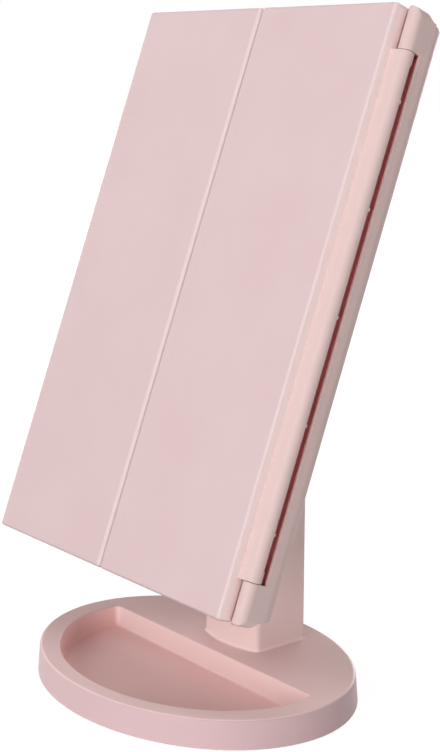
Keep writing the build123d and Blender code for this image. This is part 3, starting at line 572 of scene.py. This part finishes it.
def contact_plate(x0, x1, back_z, face_z, domes):
    """A pressed plate: a flat rectangle ring in (y, z) carried along x, its face raised about each dome's x
    by the dome's height times a smooth step, 3 q^2 - 2 q^3, of how far up its slope the point lies."""
    y = np.linspace(-plate_half_width, plate_half_width, 25)
    x = np.linspace(x0, x1, int((x1 - x0) / 0.32))[:, None]
    ring_y = np.concatenate([y, y[::-1]])[None, :]
    on_face = np.concatenate([np.zeros(len(y)), np.ones(len(y))])[None, :]
    lift = 0.0 * (x + ring_y)
    for at in domes:
        q = np.clip((dome_radius - np.hypot(x - at, ring_y)) / dome_slope, 0.0, 1.0)
        lift = lift + dome_height * q * q * (3.0 - 2.0 * q)
    z = back_z + (face_z - back_z) * on_face + np.sign(face_z - back_z) * lift * on_face
    return np.stack([x + 0.0 * z, ring_y + cell_y + 0.0 * z, z], -1)


spring = coil((3.3, 1.8), (0.3, 2.2), 3.2, 0.3)
low_face, high_face = bay_low + plate_thickness, bay_high - plate_thickness
contacts = [contact_plate(x - plate_half_width, x + plate_half_width, bay_low, low_face, domes)
            for x, domes in ((cell_x[0], ()), (cell_x[1], (cell_x[1],)))]
contacts += [contact_plate(cell_x[0] - plate_half_width, cell_x[1] + plate_half_width, bay_high, high_face,
                           (cell_x[0],)),
             placed(spring, (cell_x[0], cell_y, low_face), (0, 0, 1)),
             placed(spring, (cell_x[1], cell_y, high_face), (0, 0, -1))]
piece("battery_springs_and_plates", in_part(contacts, "head"), [nickel], "head", "battery_contacts")

# self-tapping screws: pan heads in the shell's bores, sunk ones under the base, larger pan heads up into
# the neck
screw_margin, outer_screw_x, inner_screw_x = 12.0, 73.3, neck_half_width + 8.8
shell_at = [(side * x, z) for side in (-1, 1) for x, z in (
    (outer_screw_x, screw_margin), (outer_screw_x, head_height - screw_margin),
    (inner_screw_x, head_height / 2 - 44.0), (inner_screw_x, head_height / 2 + 42.0))]
seat = frame_back + 9.4
shell_screw = screw(2.6, 1.8, 1.25, seat - plate_back - 1.0)
shell_screws = [placed(shell_screw, (x, seat, z), (0, -1, 0)) for x, z in shell_at]
piece("shell_cross_screws", in_part(shell_screws, "head"), [zinc_steel], "head", "shell_screws")

cover_low = 0.6        # the base cover's underside
base_screw = screw(2.4, 1.2, 1.2, 8.3, sunk=True)
base_screws = [placed(base_screw, (*on_base(0.85, angle), cover_low), (0, 0, 1))
               for angle in (23, 62, 118, 157)]
piece("base_cross_screws", base_screws, [zinc_steel], "stand", "base_screws")

neck_seat = 8.7        # tops of the neck screws' heads, inside the base
neck_screw = screw(3.4, 2.2, 1.75, 13.4, pitch=1.3)
neck_at = [(side * neck_half_width / 2, neck_front + spigot_set_back + ahead)
           for side in (-1, 1) for ahead in (-7.5, 7.5)]
neck_screws = [placed(neck_screw, (x, y, neck_seat), (0, 0, 1)) for x, y in neck_at]
piece("neck_cross_screws", neck_screws, [zinc_steel], "stand", "neck_screws")

# rubber feet: a rounded disc with two grooves in its tread
tread = [(0.05, 0.0), (1.8, 0.0), (1.9, 0.25), (2.2, 0.25), (2.3, 0.0), (3.3, 0.0), (3.4, 0.25), (3.7, 0.25),
         (3.8, 0.0)] + arc((4.6, 0.4), 0.4, -90, 0) + [(5.0, 1.1), (0.05, 1.1)]
feet = [placed(turned(tread, 40), (*on_base(0.78, angle), 0.0), (0, 0, 1))
        for angle in (-90, -20, 40, 140, 200)]
piece("grooved_feet", feet, [grey_rubber], "stand", "rubber_feet")


# ================================================================ floor, light and camera
def seen_directly(tree):
    """1 for rays from the camera, off a shiny face or through glass, else 0: the greatest of the three."""
    path = add(tree, "LightPath")
    seen = path["Is Camera Ray"]
    for ray in ("Is Glossy Ray", "Is Transmission Ray"):
        seen = add(tree, "Math", {0: seen, 1: path[ray]}, operation="MAXIMUM")[0]
    return seen


def floor_material():
    """Matt white paper sweep. For what the camera sees it is lifted to the white backdrop, less its shadow,
    and further out than the object's shadow falls it is the backdrop."""
    m, t = new_material("white_paper_sweep")
    shadow_end_m, backdrop_start_m, lifted_share = 0.3, 0.8, 0.82
    matt = add(t, "BsdfDiffuse", {"Color": "F4F4F4"})[0]
    lift = add(t, "Emission", {"Color": "FFFFFF", "Strength": 1.13})[0]
    out = add(t, "VectorMath", {0: add(t, "TexCoord")["Object"]}, operation="LENGTH")["Value"]
    lifted = add(t, "MapRange", {
        "Value": out, "From Min": shadow_end_m, "From Max": backdrop_start_m, "To Min": lifted_share})[0]
    share = add(t, "Math", {0: seen_directly(t), 1: lifted}, operation="MULTIPLY")[0]
    add(t, "OutputMaterial", {"Surface": add(t, "MixShader", {0: share, 1: matt, 2: lift})[0]})
    return m


floor_half_m = 6.0
floor_corners = [(x * floor_half_m, y * floor_half_m, 0.0) for x, y in ((-1, -1), (1, -1), (1, 1), (-1, 1))]
floor_mesh = bpy.data.meshes.new("floor")
floor_mesh.from_pydata(floor_corners, [], [(0, 1, 2, 3)])
floor_mesh.materials.append(floor_material())
floor = bpy.data.objects.new("floor", floor_mesh)
bpy.context.scene.collection.objects.link(floor)

# the world is white to look at, and lights the object only faintly
ambient_strength, backdrop_strength = 0.05, 1.0
world = bpy.data.worlds.new("studio")
bpy.context.scene.world = world
world.use_nodes = True
studio_tree = world.node_tree
studio_tree.nodes.clear()
dim, white = [add(studio_tree, "Background", {"Color": "FFFFFF", "Strength": strength})[0]
              for strength in (ambient_strength, backdrop_strength)]
add(studio_tree, "OutputWorld", {
    "Surface": add(studio_tree, "MixShader", {0: seen_directly(studio_tree), 1: dim, 2: white})[0]})

aim_m, lamp_distance_m, lamp_side_m = Vector((0.0, 0.0, 0.15)), 2.5, 1.2
plain, warm = (1.0, 1.0, 1.0), (1.0, 0.92, 0.91)


def softbox(name, direction, watts, tone=plain, height_m=lamp_side_m):
    """A flat rectangular lamp facing the object from the given direction."""
    lamp = bpy.data.lights.new(name, "AREA")
    lamp.shape, lamp.size, lamp.size_y = "RECTANGLE", lamp_side_m, height_m
    lamp.energy, lamp.color = watts, tone
    o = bpy.data.objects.new(name, lamp)
    d = Vector(direction).normalized()
    o.location = aim_m + d * lamp_distance_m
    o.rotation_euler = d.to_track_quat("Z", "Y").to_euler()
    bpy.context.scene.collection.objects.link(o)


# a broad front pair carries the faces; the other sides are filled, some a little warmer, and a low lamp
# behind lights the back evenly
softbox("front_right", (0.42, -0.90, 0.12), 30.0, height_m=0.9)
softbox("front", (0.0, -0.91, 0.41), 17.0)
softbox("top", (0.0, -0.3, 0.95), 12.0)
softbox("low_left", (-0.97, 0.0, 0.26), 15.5, warm)
softbox("low_right", (0.97, 0.0, 0.26), 4.6, warm)
softbox("high_right", (0.64, 0.0, 0.77), 8.6)
softbox("back_left", (-0.49, 0.59, 0.64), 4.0, warm)
softbox("back", (0.0, 0.82, 0.57), 4.0, warm)
softbox("rear", (-0.4, 0.915, 0.05), 30.0, height_m=1.0)

# the camera stands 51.5 degrees to the right of the front and looks 11.5 degrees down
camera_at = (526.034, -404.639, 274.413)
yaw, pitch, roll = math.radians(51.517), math.radians(11.548), math.radians(0.171)
picture_width_px, picture_height_px, focal_length_px = 440.0, 752.0, 1532.574
centre_x_px, centre_y_px = 217.866, 382.254   # where the camera's axis meets the picture
sensor_mm = 36.0
ahead = Vector((-math.sin(yaw) * math.cos(pitch), math.cos(yaw) * math.cos(pitch), -math.sin(pitch)))
level = Vector((math.cos(yaw), math.sin(yaw), 0.0))
upright = level.cross(ahead)
right = math.cos(roll) * level + math.sin(roll) * upright
up = math.cos(roll) * upright - math.sin(roll) * level
camera_data = bpy.data.cameras.new("camera")
camera_data.lens, camera_data.sensor_width = sensor_mm * focal_length_px / picture_height_px, sensor_mm
camera_data.shift_x = (picture_width_px / 2 - centre_x_px) / picture_height_px
camera_data.shift_y = (centre_y_px - picture_height_px / 2) / picture_height_px
camera_data.clip_start, camera_data.clip_end = 0.01, 50.0
camera = bpy.data.objects.new("camera", camera_data)
camera.matrix_world = Matrix.Translation(mm(camera_at)) @ Matrix((right, up, -ahead)).transposed().to_4x4()
bpy.context.scene.collection.objects.link(camera)
bpy.context.scene.camera = camera
bpy.context.scene.view_settings.view_transform = "Standard"
